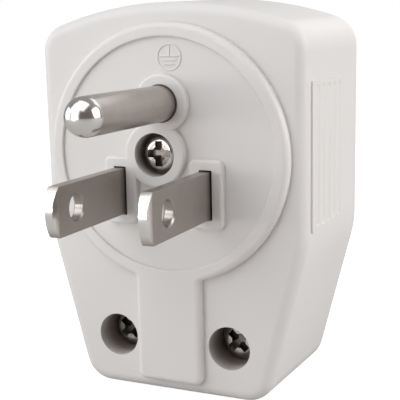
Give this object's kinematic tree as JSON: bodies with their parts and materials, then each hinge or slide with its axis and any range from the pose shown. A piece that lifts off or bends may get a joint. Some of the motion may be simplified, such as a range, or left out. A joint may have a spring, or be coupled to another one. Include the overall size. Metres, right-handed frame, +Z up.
{
  "type": "grounded plug travel adapter",
  "caption": "Moulded travel adapter with two flat blades and a round ground pin in front, ribbed side grips, and a three-aperture socket face behind.",
  "frame": {"origin": "midway between the two flat blades, in the plane of the raised pads that meets the wall socket", "axes": "+X to the right of someone who faces the pins, +Y from the wall socket into the body, +Z up, from the blades towards the ground pin"},
  "size_m": [0.0404, 0.0445, 0.0552],
  "materials": {
    "body_plastic": "warm off-white moulding, satin sheen",
    "plated_pin": "nickel-plated brass, polished",
    "screw_steel": "bright zinc-plated steel",
    "contact_brass": "plain stamped brass"
  },
  "bodies": {
    "root": {"front_housing": "body_plastic", "rear_cover": "body_plastic", "left_blade": "plated_pin", "right_blade": "plated_pin", "ground_pin": "plated_pin", "left_contact": "contact_brass", "right_contact": "contact_brass", "ground_contact": "contact_brass", "left_rivet": "contact_brass", "right_rivet": "contact_brass", "centre_screw": "screw_steel", "left_case_screw": "screw_steel", "right_case_screw": "screw_steel"}
  },
  "joints": []
}
